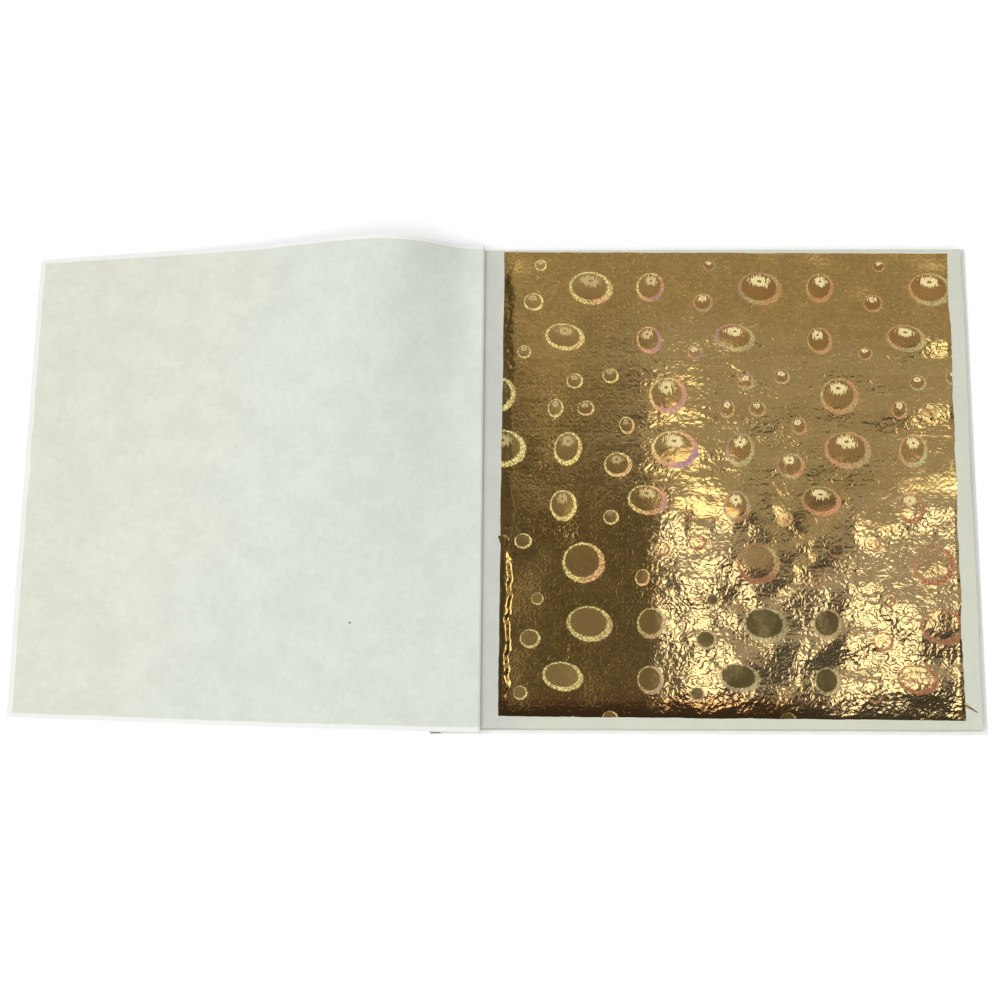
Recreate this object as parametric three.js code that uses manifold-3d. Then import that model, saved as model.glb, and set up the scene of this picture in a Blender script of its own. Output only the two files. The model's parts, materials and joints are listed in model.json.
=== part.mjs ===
// A booklet of loose gold leaf, open at its first leaf. Lengths are in millimetres and angles in degrees.
// X runs from the fold line to the fore edge, Y from the foot to the head, and Z up from the table.
// The origin lies on the underside of the back cover, on the fold line, halfway up the page.

import * as THREE from 'three';
import { mergeVertices } from 'three/addons/utils/BufferGeometryUtils.js';
import Module from 'manifold-3d';

const wasm = await Module();
wasm.setup();

// Leaves and the tissues that they lie on. A tissue shows past its leaf by a margin on three sides, and
// by the inset at the fold
const leafWidth = 80;
const leafHeight = 85;
const leafThickness = 0.009;
const leafAir = 0.008;
const leafInset = 3.56;
const leafRise = 0.62;
const leafSkew = -0.37;
const leafSkewStep = 137;
const foreMargin = 2.74;
const headMargin = 1.2;
const tissueCount = 26;
const tissueThickness = 0.045;

// Cover, one wrapper of stout paper: back panel, spine, margin flap and front panel
const foreOverhang = 1;
const headOverhang = 0.75;
const marginWidth = 8.6;
const coverThickness = 0.22;
const spineRadius = 0.5;

// Binding
const glueWidth = 1.7;
const glueRecess = 0.1;
const wireDiameter = 0.45;
const wireClearance = 0.08;
const crownLength = 11;
const clinchLength = 3.6;
const wireBend = 0.5;
const stapleSpacing = 48;

// Clearances
const layerGap = 0.02;
const foldGap = 0.3;
const hingeGap = 0.05;
const cutOverrun = 1;

// Front panel and first tissue, turned over to the left: they crest at the head close to the fold,
// come down on the table at the head corner and stay lifted at the foot corner. Seen from above they
// reach less far than they are wide, and are drawn in at both corners
const headReach = 81.3;
const footReach = 79.2;
const headDrawIn = 1.95;
const footDrawIn = 0.85;
const crestHeight = 6.1;
const crestDistance = 20;
const crestDrift = 26;
const crestSharpness = 3;
const headCornerHeight = 0.2;
const footCornerLift = 9.7;
const widthSteps = 20;
const heightSteps = 8;
const slopeStepShare = 0.001;

// Facets of the wire and of the rounded spine
const wireSides = 8;
const wireSteps = 64;
const arcSteps = 4;

const tissueWidth = leafInset + leafWidth + foreMargin;
const tissueHeight = leafHeight + 2 * headMargin;
const panelWidth = tissueWidth + foreOverhang;
const panelHeight = tissueHeight + 2 * headOverhang;
const pitch = tissueThickness + leafThickness + 2 * leafAir;
const blockBottom = coverThickness + layerGap;
const blockHeight = (tissueCount - 1) * pitch + tissueThickness;
const blockTop = blockBottom + blockHeight;
const flapBottom = blockTop + layerGap;
const flapTop = flapBottom + coverThickness;
const hingeHeight = flapTop + hingeGap;
const spineInside = -marginWidth + coverThickness;
const glueBack = spineInside + layerGap;
const blockBack = glueBack + glueWidth + layerGap;

const paper = { cover: 0xf2f2ee, tissue: 0xdfe3d8 };
const finish = {
  cover: { color: paper.cover, roughness: 0.85, metalness: 0 },
  tissue: { color: paper.tissue, roughness: 0.9, metalness: 0 },
  leaf: { color: 0xb8923c, roughness: 0.28, metalness: 1 },
  glue: { color: 0x6b4a32, roughness: 0.6, metalness: 0 },
  wire: { color: 0xb9bcc0, roughness: 0.35, metalness: 1 },
};

const booklet = new THREE.Group();

function add(name, geometry, look) {
  const mesh = new THREE.Mesh(geometry, new THREE.MeshStandardMaterial(look));
  mesh.name = name;
  booklet.add(mesh);
  return mesh;
}

function toSolid(geometry) {
  const bare = geometry.clone();
  bare.deleteAttribute('normal');
  bare.deleteAttribute('uv');
  const merged = mergeVertices(bare);
  return new wasm.Manifold(new wasm.Mesh({
    numProp: 3,
    vertProperties: Float32Array.from(merged.attributes.position.array),
    triVerts: Uint32Array.from(merged.index.array),
  }));
}

function toGeometry(solid) {
  const mesh = solid.getMesh();
  const geometry = new THREE.BufferGeometry();
  geometry.setAttribute('position', new THREE.BufferAttribute(mesh.vertProperties, mesh.numProp));
  geometry.setIndex(new THREE.BufferAttribute(mesh.triVerts, 1));
  geometry.computeVertexNormals();
  return geometry;
}

function boxBetween(low, high) {
  const size = high.clone().sub(low);
  const middle = high.clone().add(low).multiplyScalar(0.5);
  return new THREE.BoxGeometry(size.x, size.y, size.z).translate(middle.x, middle.y, middle.z);
}

// Extrudes an outline drawn in X and Z along Y, centred on the middle of the page
function extrudeAlongPage(outline, length) {
  const geometry = new THREE.ExtrudeGeometry(outline, {
    depth: length, bevelEnabled: false, curveSegments: arcSteps,
  });
  return geometry.rotateX(Math.PI / 2).translate(0, length / 2, 0);
}

// Back panel, spine and margin flap, a C in section that holds the bound edges
function backCover() {
  const outer = spineRadius;
  const inner = spineRadius - coverThickness;
  const back = -marginWidth;
  const outline = new THREE.Shape();
  outline.moveTo(panelWidth, 0);
  outline.lineTo(panelWidth, coverThickness);
  outline.lineTo(spineInside + inner, coverThickness);
  outline.absarc(spineInside + inner, coverThickness + inner, inner, -Math.PI / 2, Math.PI, true);
  outline.lineTo(spineInside, flapBottom - inner);
  outline.absarc(spineInside + inner, flapBottom - inner, inner, Math.PI, Math.PI / 2, true);
  outline.lineTo(0, flapBottom);
  outline.lineTo(0, flapTop);
  outline.lineTo(back + outer, flapTop);
  outline.absarc(back + outer, flapTop - outer, outer, Math.PI / 2, Math.PI, false);
  outline.lineTo(back, outer);
  outline.absarc(back + outer, outer, outer, Math.PI, 1.5 * Math.PI, false);
  outline.closePath();
  return extrudeAlongPage(outline, panelHeight);
}

// Strip of brown glue between the bound edges and the spine, its spine side rounded to fit the wrapper
function spineGlue() {
  const round = spineRadius - coverThickness;
  const front = glueBack + glueWidth;
  const outline = new THREE.Shape();
  outline.moveTo(glueBack + round, blockBottom);
  outline.lineTo(front, blockBottom);
  outline.lineTo(front, blockTop);
  outline.lineTo(glueBack + round, blockTop);
  outline.absarc(glueBack + round, blockTop - round, round, Math.PI / 2, Math.PI, false);
  outline.lineTo(glueBack, blockBottom + round);
  outline.absarc(glueBack + round, blockBottom + round, round, Math.PI, 1.5 * Math.PI, false);
  outline.closePath();
  return extrudeAlongPage(outline, panelHeight - 2 * glueRecess);
}

// Heights of the wire's middle in its two channels, and the staples' place across the margin
const wireRadius = wireDiameter / 2;
const channelDepth = wireDiameter + layerGap;
const crownHeight = blockTop - layerGap - wireRadius;
const clinchHeight = blockBottom + layerGap + wireRadius;
const stapleX = blockBack / 2;

// Crown across the top, a leg down at each end, and both ends clinched inwards under the sheets
function staple(middleY) {
  const half = crownLength / 2;
  const corner = (y, z) => new THREE.Vector3(stapleX, middleY + y, z);
  const stops = [
    corner(-half + clinchLength, clinchHeight),
    corner(-half, clinchHeight),
    corner(-half, crownHeight),
    corner(half, crownHeight),
    corner(half, clinchHeight),
    corner(half - clinchLength, clinchHeight),
  ];
  const path = new THREE.CurvePath();
  let from = stops[0];
  for (let i = 1; i < stops.length - 1; i += 1) {
    const before = stops[i - 1].clone().sub(stops[i]).setLength(wireBend).add(stops[i]);
    const after = stops[i + 1].clone().sub(stops[i]).setLength(wireBend).add(stops[i]);
    path.add(new THREE.LineCurve3(from, before));
    path.add(new THREE.QuadraticBezierCurve3(before, stops[i], after));
    from = after;
  }
  path.add(new THREE.LineCurve3(from, stops[stops.length - 1]));
  const section = new THREE.Shape();
  for (let i = 0; i < wireSides; i += 1) {
    const turn = (i + 0.5) / wireSides * 2 * Math.PI;
    const x = wireRadius * Math.cos(turn);
    const y = wireRadius * Math.sin(turn);
    if (i === 0) section.moveTo(x, y);
    else section.lineTo(x, y);
  }
  section.closePath();
  return new THREE.ExtrudeGeometry(section, { extrudePath: path, steps: wireSteps, bevelEnabled: false });
}

// Margins of all the sheets, pressed into one block, with a channel and leg holes for each staple
function boundMargin() {
  const halfHeight = tissueHeight / 2;
  const reach = wireRadius + wireClearance;
  let block = toSolid(boxBetween(
    new THREE.Vector3(blockBack, -halfHeight, blockBottom),
    new THREE.Vector3(0, halfHeight, blockTop),
  ));
  for (const middleY of staplePlaces) {
    const half = crownLength / 2 + reach;
    const cuts = [boxBetween(
      new THREE.Vector3(stapleX - reach, middleY - half, blockTop - channelDepth - wireClearance),
      new THREE.Vector3(stapleX + reach, middleY + half, blockTop + cutOverrun),
    )];
    const clinchTop = blockBottom + channelDepth + wireClearance;
    for (const side of [-1, 1]) {
      const outerY = middleY + side * half;
      const clinchY = middleY + side * (crownLength / 2 - clinchLength - wireClearance);
      const bendY = middleY + side * (crownLength / 2 - reach - wireBend);
      cuts.push(boxBetween(
        new THREE.Vector3(stapleX - reach, Math.min(outerY, clinchY), blockBottom - cutOverrun),
        new THREE.Vector3(stapleX + reach, Math.max(outerY, clinchY), clinchTop),
      ));
      cuts.push(boxBetween(
        new THREE.Vector3(stapleX - reach, Math.min(outerY, bendY), blockBottom),
        new THREE.Vector3(stapleX + reach, Math.max(outerY, bendY), blockTop),
      ));
    }
    for (const cut of cuts) block = block.subtract(toSolid(cut));
  }
  return toGeometry(block);
}

const staplePlaces = [stapleSpacing / 2, -stapleSpacing / 2];

// Height of a turned sheet above the hinge, at a distance from the fold and a share of the way up the page
function turnedRise(distance, headShare) {
  const bump = (x, at) => (x / at * Math.exp(1 - x / at)) ** crestSharpness;
  const crestAt = crestDistance + (1 - headShare) * crestDrift;
  const drop = hingeHeight - headCornerHeight + crestHeight * bump(panelWidth, crestDistance);
  const head = crestHeight * bump(distance, crestAt) - drop * (distance / panelWidth) ** 2;
  const foot = footCornerLift * distance / panelWidth;
  return foot + (head - foot) * headShare;
}

// Point of the turned sheets' lower face, at a distance from the fold and a height up the page
function turnedPoint(distance, v) {
  const headShare = v / panelHeight + 0.5;
  const outShare = distance / panelWidth;
  const reach = footReach + (headReach - footReach) * headShare;
  const drawIn = (headDrawIn + footDrawIn) * headShare - footDrawIn;
  return new THREE.Vector3(
    -reach * outShare,
    v - drawIn * outShare ** 2,
    hingeHeight + turnedRise(distance, headShare),
  );
}

function turnedNormal(distance, v) {
  const step = panelWidth * slopeStepShare;
  const outward = turnedPoint(distance + step, v).sub(turnedPoint(distance - step, v));
  const headward = turnedPoint(distance, v + step).sub(turnedPoint(distance, v - step));
  return headward.cross(outward).normalize();
}

// Closed sheet on the turned surface, between two offsets from it. Both turned sheets share their
// stations, so their facets lie parallel
function turnedSheet(distances, rows, lower, upper) {
  const points = [];
  for (const offset of [lower, upper]) {
    for (const v of rows) {
      for (const distance of distances) {
        const point = turnedPoint(distance, v).addScaledVector(turnedNormal(distance, v), offset);
        points.push(point.x, point.y, point.z);
      }
    }
  }
  const across = distances.length;
  const up = rows.length;
  const at = (layer, row, column) => (layer * up + row) * across + column;
  const faces = [];
  const quad = (a, b, c, d) => faces.push(a, b, c, a, c, d);
  for (let row = 0; row < up - 1; row += 1) {
    for (let column = 0; column < across - 1; column += 1) {
      const corners = (layer) => [
        at(layer, row, column), at(layer, row, column + 1),
        at(layer, row + 1, column + 1), at(layer, row + 1, column),
      ];
      quad(...corners(0));
      const [near, far, headFar, headNear] = corners(1);
      quad(near, headNear, headFar, far);
    }
  }
  for (let row = 0; row < up - 1; row += 1) {
    quad(at(0, row + 1, 0), at(1, row + 1, 0), at(1, row, 0), at(0, row, 0));
    const end = across - 1;
    quad(at(0, row, end), at(1, row, end), at(1, row + 1, end), at(0, row + 1, end));
  }
  for (let column = 0; column < across - 1; column += 1) {
    quad(at(0, 0, column), at(1, 0, column), at(1, 0, column + 1), at(0, 0, column + 1));
    const top = up - 1;
    quad(at(0, top, column + 1), at(1, top, column + 1), at(1, top, column), at(0, top, column));
  }
  const geometry = new THREE.BufferGeometry();
  geometry.setAttribute('position', new THREE.Float32BufferAttribute(points, 3));
  geometry.setIndex(faces);
  geometry.computeVertexNormals();
  return geometry;
}

function spread(from, to, count) {
  return Array.from({ length: count + 1 }, (_, i) => from + (to - from) * i / count);
}

const tissueStations = spread(foldGap, tissueWidth, widthSteps);
const tissueRows = spread(-tissueHeight / 2, tissueHeight / 2, heightSteps);
const coverStations = [...tissueStations, panelWidth];
const coverRows = [-panelHeight / 2, ...tissueRows, panelHeight / 2];
const coverInner = hingeGap + coverThickness;
const tissueInner = coverInner + layerGap;
const tissueOuter = tissueInner + tissueThickness;

add('back_cover', backCover(), finish.cover);
add('spine_glue', spineGlue(), finish.glue);
add('bound_margin', boundMargin(), finish.tissue);
add('staple_head', staple(staplePlaces[0]), finish.wire);
add('staple_foot', staple(staplePlaces[1]), finish.wire);
add('front_cover', turnedSheet(coverStations, coverRows, hingeGap, coverInner), finish.cover);
add('tissue_01', turnedSheet(tissueStations, tissueRows, tissueInner, tissueOuter), finish.tissue);

for (let i = 1; i < tissueCount; i += 1) {
  const top = blockTop - i * pitch;
  const tissue = new THREE.BoxGeometry(tissueWidth - foldGap, tissueHeight, tissueThickness);
  const page = add(`tissue_${String(i + 1).padStart(2, '0')}`, tissue, finish.tissue);
  page.position.set((foldGap + tissueWidth) / 2, 0, top - tissueThickness / 2);
  const foil = new THREE.BoxGeometry(leafWidth, leafHeight, leafThickness);
  const leaf = add(`gold_leaf_${String(i).padStart(2, '0')}`, foil, finish.leaf);
  leaf.position.set(leafInset + leafWidth / 2, leafRise, top + leafAir + leafThickness / 2);
  const skew = leafSkew * Math.cos(THREE.MathUtils.degToRad((i - 1) * leafSkewStep));
  leaf.rotation.z = THREE.MathUtils.degToRad(skew);
}

export default booklet;
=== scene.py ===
import json
import bpy
import numpy as np
from mathutils import Euler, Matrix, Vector


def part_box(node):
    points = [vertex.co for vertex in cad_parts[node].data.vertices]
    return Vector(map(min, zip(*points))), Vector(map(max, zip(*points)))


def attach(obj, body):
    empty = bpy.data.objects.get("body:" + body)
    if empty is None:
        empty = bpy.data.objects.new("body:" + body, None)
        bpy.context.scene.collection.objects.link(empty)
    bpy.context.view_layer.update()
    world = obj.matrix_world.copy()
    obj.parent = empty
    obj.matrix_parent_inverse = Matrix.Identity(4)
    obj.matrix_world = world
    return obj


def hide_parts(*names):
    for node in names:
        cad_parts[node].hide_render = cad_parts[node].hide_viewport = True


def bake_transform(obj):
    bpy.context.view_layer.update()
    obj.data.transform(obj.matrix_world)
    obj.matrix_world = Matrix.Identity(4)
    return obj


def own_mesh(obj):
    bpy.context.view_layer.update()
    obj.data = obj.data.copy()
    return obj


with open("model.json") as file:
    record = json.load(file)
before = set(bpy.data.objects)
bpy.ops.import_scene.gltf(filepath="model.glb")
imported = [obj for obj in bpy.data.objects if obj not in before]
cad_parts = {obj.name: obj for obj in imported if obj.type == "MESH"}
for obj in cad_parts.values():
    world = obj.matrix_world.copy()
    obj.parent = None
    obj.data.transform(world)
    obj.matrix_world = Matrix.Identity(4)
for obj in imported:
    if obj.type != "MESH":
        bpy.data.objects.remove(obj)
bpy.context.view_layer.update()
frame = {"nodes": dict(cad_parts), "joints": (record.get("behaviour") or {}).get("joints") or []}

mm = 0.001               # sizes below are in millimetres and angles in degrees


def low(node):
    return np.array(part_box(node)[0]) / mm


def high(node):
    return np.array(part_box(node)[1]) / mm


# Sizes that the frame already holds
turnJoint = next(joint for joint in frame["joints"] if joint["name"] == "front_cover_turn")
hingeHeight = turnJoint["pos_m"][2] / mm
panelWidth, panelHeight = high("back_cover")[0], 2 * high("back_cover")[1]
tissueWidth, tissueHeight = high("tissue_02")[0], 2 * high("tissue_02")[1]
stackTop = high("tissue_02")[2]
tissueThickness = stackTop - low("tissue_02")[2]
pageNumbers = range(2, 27)
leafNumbers = range(1, 26)


def putObject(name, data):
    made = bpy.data.objects.new(name, data)
    bpy.context.scene.collection.objects.link(made)
    return made


# Camera, set so that the booklet's corners fall where they do in the picture
camera = dict(
    lens=79.283, place=(14.104, -101.227, 377.835), turn=(14.629, 1.525, 0.434),
)


def makeCamera():
    data = bpy.data.cameras.new("camera")
    data.lens = camera["lens"]
    data.sensor_width = 36
    data.clip_start = 0.01
    data.clip_end = 30
    made = putObject("camera", data)
    made.location = Vector(camera["place"]) * mm
    made.rotation_euler = Euler([float(np.radians(angle)) for angle in camera["turn"]])
    bpy.context.scene.camera = made


makeCamera()
print("camera made")


# Shader tools. Most put one node in a tree and give back its output
def fill(tree, node, inputs):
    # a socket is linked, and anything else is set as the value
    for key, value in inputs.items():
        if isinstance(value, bpy.types.NodeSocket):
            tree.links.new(value, node.inputs[key])
        else:
            node.inputs[key].default_value = value
    return node


def addNode(tree, kind, inputs=None, **settings):
    made = tree.nodes.new("ShaderNode" + kind)
    for key, value in settings.items():
        setattr(made, key, value)
    return fill(tree, made, inputs or {})


def sums(tree, operation, a, b=0.0, c=0.0, clamp=False):
    inputs = {0: a, 1: b, 2: c}
    return addNode(tree, "Math", inputs, operation=operation, use_clamp=clamp).outputs[0]


def linear(tree, value, factor, shift=0.0):
    return sums(tree, "MULTIPLY_ADD", value, factor, shift)


def spread(tree, share, width):
    # from a share of 0 to 1 to a value about nought
    return linear(tree, share, width, -width / 2)


def product(tree, first, *others):
    for other in others:
        first = sums(tree, "MULTIPLY", first, other)
    return first


def largest(tree, first, *others):
    for other in others:
        first = sums(tree, "MAXIMUM", first, other)
    return first


def vectors(tree, operation, a, b=(0, 0, 0), c=(0, 0, 0), out=0):
    return addNode(tree, "VectorMath", {0: a, 1: b, 2: c}, operation=operation).outputs[out]


def ramp(tree, value, start, end, first=0.0, last=1.0):
    inputs = {"Value": value, "From Min": start, "From Max": end, "To Min": first, "To Max": last}
    return addNode(tree, "MapRange", inputs, interpolation_type="SMOOTHSTEP").outputs[0]


def ramps(tree, look, **values):
    # a product of ramps, each over the range that the look names
    return product(tree, *(ramp(tree, value, *look[key]) for key, value in values.items()))


def noise(tree, place, size, detail=3.0, roughness=0.5, seed=0.0, stretch=(1, 1, 1)):
    factors = tuple(share / size for share in stretch)
    moved = vectors(tree, "MULTIPLY_ADD", place, factors, (seed, 1.7 * seed, 2.3 * seed))
    inputs = {"Vector": moved, "Scale": 1.0, "Detail": detail, "Roughness": roughness}
    return addNode(tree, "TexNoise", inputs).outputs["Fac"]


def axes(tree, vector):
    return addNode(tree, "SeparateXYZ", {0: vector}).outputs


def blend(tree, share, a, b, way="MIX"):
    a, b = (value if isinstance(value, bpy.types.NodeSocket) else (*value, 1) for value in (a, b))
    made = addNode(tree, "Mix", {0: share, 6: a, 7: b}, data_type="RGBA", blend_type=way)
    return made.outputs[2]


def colourSteps(tree, value, steps):
    made = addNode(tree, "ValToRGB", {"Fac": value})
    line = made.color_ramp.elements
    while len(line) < len(steps):
        line.new(0.5)
    for element, (at, colour) in zip(line, steps):
        element.position = at
        element.color = (*colour, 1)
    return made.outputs["Color"]


def newGroup(name, inputs, outputs):
    tree = bpy.data.node_groups.new(name, "ShaderNodeTree")
    for label, kind in inputs.items():
        tree.interface.new_socket(label, in_out="INPUT", socket_type=kind)
    for label in outputs:
        tree.interface.new_socket(label, in_out="OUTPUT", socket_type="NodeSocketFloat")
    return tree, tree.nodes.new("NodeGroupInput").outputs, tree.nodes.new("NodeGroupOutput")


def useGroup(tree, group, inputs):
    return addNode(tree, "Group", inputs, node_tree=group).outputs


def newMaterial(name):
    material = bpy.data.materials.new(name)
    material.use_nodes = True
    shader = material.node_tree.nodes["Principled BSDF"]
    return material, material.node_tree, shader


def objectPlace(tree):
    place = addNode(tree, "TexCoord").outputs["Object"]
    return vectors(tree, "MULTIPLY", place, (1 / mm,) * 3)


def bumpInto(tree, shader, height, depth=1.0):
    # the height times the depth is in mm
    made = addNode(tree, "Bump", {"Height": height, "Distance": depth * mm})
    tree.links.new(made.outputs[0], shader.inputs["Normal"])


def seenRays(tree):
    # 1 for rays that see a surface straight, mirrored or through glass, and 0 for the light that it gives
    rays = addNode(tree, "LightPath").outputs
    return largest(tree, rays["Is Camera Ray"], rays["Is Glossy Ray"], rays["Is Transmission Ray"])


# Paper: cloudy formation, short fibres and sparse dark specks
paper = dict(
    broadSize=5.5, fineSize=1.1, fibreSize=0.35, fibreStretch=(0.35, 1.6, 1), fineShare=0.4,
    cloudRange=(0.34, 0.66), tintWander=30, tintWanderSize=14, specular=0.25, speckSpacing=11.0,
    speckRarity=6.0, speckColour=(0.12, 0.11, 0.09), tintSlant=0, speckSize=0.3, roughness=0.8,
    bump=0.02,
)


def makePaperGroup():
    # Cloud mixes broad and fine noise, and Height mixes fine noise and drawn out fibres. Speck is 1 within
    # a radius of each cell's point, and the radius is a high power of the cell's random number
    tree, given, wanted = newGroup(
        "paperFormation", {"Place": "NodeSocketVector", "Speck Size": "NodeSocketFloat"},
        ("Cloud", "Speck", "Height"),
    )
    place = given["Place"]
    share = paper["fineShare"]
    broad = noise(tree, place, paper["broadSize"], 4, 0.6)
    fine = noise(tree, place, paper["fineSize"], 3, 0.6, 4)
    fibre = noise(tree, place, paper["fibreSize"], 2, 0.5, 9, paper["fibreStretch"])
    cloud = linear(tree, broad, 1 - share, product(tree, fine, share))
    height = linear(tree, fine, 1 - share, product(tree, fibre, share))
    spacing = paper["speckSpacing"]
    cells = addNode(tree, "TexVoronoi", {"Vector": place, "Scale": 1 / spacing}, feature="F1")
    pick = addNode(tree, "SeparateColor", {"Color": cells.outputs["Color"]}).outputs
    radius = product(tree, sums(tree, "POWER", pick[0], paper["speckRarity"]), given["Speck Size"])
    speck = sums(tree, "LESS_THAN", product(tree, cells.outputs["Distance"], spacing), radius)
    fill(tree, wanted, {"Cloud": cloud, "Speck": speck, "Height": height})
    return tree


paperGroup = makePaperGroup()


def makePaper(name, look):
    # tint and painted light turn from left to right along a wandering line; clouds and specks darken it
    look = {**paper, **look}
    material, tree, shader = newMaterial(name)
    place = objectPlace(tree)
    formation = useGroup(tree, paperGroup, {"Place": place, "Speck Size": look["speckSize"]})
    at = axes(tree, place)
    stray = spread(tree, noise(tree, place, paper["tintWanderSize"], 3, 0.6, 3), paper["tintWander"])
    drift = linear(tree, at["Y"], look["tintSlant"], at["X"])
    side = ramps(tree, look, tintRange=sums(tree, "ADD", drift, stray))
    ground = blend(tree, side, look["leftTint"], look["rightTint"])
    cloudy = ramps(tree, look, cloudRange=formation["Cloud"])
    shaded = blend(tree, cloudy, look["thin"], (1, 1, 1))
    sheet = blend(tree, 1.0, ground, shaded, "MULTIPLY")
    coloured = blend(tree, formation["Speck"], sheet, paper["speckColour"])
    fill(tree, shader, {"Base Color": coloured, "Roughness": look["roughness"],
                        "Specular IOR Level": paper["specular"]})
    bumpInto(tree, shader, formation["Height"], look["bump"])
    return material


paperLooks = dict(
    # painted light: the turned sheet is warmer beyond a slanting line and cooler by the fold, where it
    # faces away from the light
    turned=dict(leftTint=(0.75, 0.755, 0.655), rightTint=(0.71, 0.747, 0.666),
                tintRange=(-62, -38), tintSlant=-0.28, thin=(0.905, 0.91, 0.90)),
    page=dict(leftTint=(0.56, 0.57, 0.52), rightTint=(0.645, 0.655, 0.55),
              tintRange=(2, 12), thin=(0.93, 0.935, 0.93)),
    cover=dict(leftTint=(0.86, 0.865, 0.84), rightTint=(0.86, 0.87, 0.85), tintRange=(-10, 10),
               thin=(0.96, 0.96, 0.955), speckSize=0.2, roughness=0.65, bump=0.03),
)
turnedPaper = makePaper("turnedTissuePaper", paperLooks["turned"])
pagePaper = makePaper("tissuePaper", paperLooks["page"])
coverPaper = makePaper("coverPaper", paperLooks["cover"])


def makeDressed(name, look, pattern):
    # colour and roughness follow the pattern's share, and the bump follows its height
    material, tree, shader = newMaterial(name)
    share, height = pattern(tree, objectPlace(tree))
    fill(tree, shader, {
        "Base Color": blend(tree, share, look["dark"], look["pale"]),
        "Roughness": ramp(tree, share, *look["roughness"]), "Metallic": look["metallic"],
    })
    bumpInto(tree, shader, height, look["bump"])
    return material


# Bound margins: cut edges of the sheets, one line to a sheet, with painted shade in the gaps between them
margin = dict(
    dark=(0.36, 0.34, 0.30), pale=(0.70, 0.71, 0.66), lineRange=(0.05, 0.25), wobbleSize=3,
    roughness=(0, 1, 0.85, 0.85), metallic=0, bump=0.03,
)


def sheetLines(tree, place):
    # a triangle wave up the block has one tooth to a sheet, moved by noise; its dark valleys are painted
    # shade
    pitch = (stackTop - high("tissue_26")[2]) / (len(pageNumbers) - 1)
    wobble = product(tree, noise(tree, place, margin["wobbleSize"], 3), pitch)
    phase = sums(tree, "DIVIDE", sums(tree, "ADD", axes(tree, place)["Z"], wobble), pitch)
    line = ramps(tree, margin, lineRange=sums(tree, "PINGPONG", phase, 0.5))
    return line, line


# Spine piece: dark brown, with broad clots and a finer grain
glue = dict(
    dark=(0.07, 0.035, 0.018), pale=(0.17, 0.09, 0.045), patchSize=0.8, patchRange=(0.35, 0.65),
    grainSize=0.3, roughness=(0, 1, 0.35, 0.6), metallic=0, bump=0.05,
)


def glueClots(tree, place):
    # a ramp of broad noise, with finer noise as its height
    clots = noise(tree, place, glue["patchSize"], 4, 0.6)
    return ramps(tree, glue, patchRange=clots), noise(tree, place, glue["grainSize"], 3)


wire = dict(
    dark=(0.42, 0.42, 0.43), pale=(0.66, 0.66, 0.67), stretch=(6, 0.4, 6), scratchSize=0.4,
    roughness=(0.3, 0.7, 0.25, 0.45), metallic=1, bump=0.01,
)


def wireScratches(tree, place):
    # noise is drawn out along the crown
    scratches = noise(tree, place, wire["scratchSize"], stretch=wire["stretch"])
    return scratches, scratches


# Pattern of drops pressed into the foil. One tile repeats over the roll that the leaves are cut from.
# Each drop has its place right of and below the tile's corner, its width and height, and its tilt
tile = dict(
    width=30.5, height=61.8, discOffset=(-0.07, 0.09, 0), rimRange=(1.03, 0.95),
    discRange=(0.84, 0.76), bulge=0.75, ragged=0.2, raggedSize=0.5, glintStretch=(1, 1.3, 0),
    # the glint's stretch and offset, and the streaks, burst and eye, shape a painted highlight on each drop
    glintOffset=(0.08, -0.58, 0), streakStretch=(3.0, 0.5, 0), streakSize=0.6, streakReach=1.1,
    burstRange=(0.42, 0.37), eyeReach=0.2, eyeRange=(0.17, 0.23),
    drops=[
        (6.6, 2.5, 2.2, 2.2, 0), (15.7, 6.9, 8.0, 6.3, -8), (5.4, 9.6, 3.6, 3.4, 0),
        (26.4, 6.7, 5.0, 5.6, -15), (11.1, 16.2, 7.2, 5.1, -10), (26.2, 16.7, 4.5, 5.1, 10),
        (3.8, 19.1, 2.5, 2.5, 0), (12.9, 24.5, 3.0, 2.9, 0), (19.3, 23.5, 2.9, 2.8, 0),
        (9.5, 29.6, 2.8, 3.5, -10), (14.9, 29.6, 3.1, 2.8, 0), (22.2, 32.7, 2.7, 3.3, 12),
        (29.5, 27.1, 6.8, 6.8, 0), (0.2, 37.1, 8.4, 6.9, -6), (11.7, 37.1, 5.0, 6.3, -10),
        (20.6, 40.0, 5.0, 4.6, 0), (11.0, 47.5, 4.8, 5.7, 0), (25.8, 46.4, 7.1, 5.4, -8),
        (19.4, 49.6, 2.8, 2.7, 0), (4.0, 54.0, 3.1, 2.8, 0), (14.6, 57.8, 7.5, 7.3, 0),
        (24.9, 60.4, 2.6, 3.1, -15), (28.3, 55.3, 2.9, 2.7, 0),
    ],
)


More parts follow.
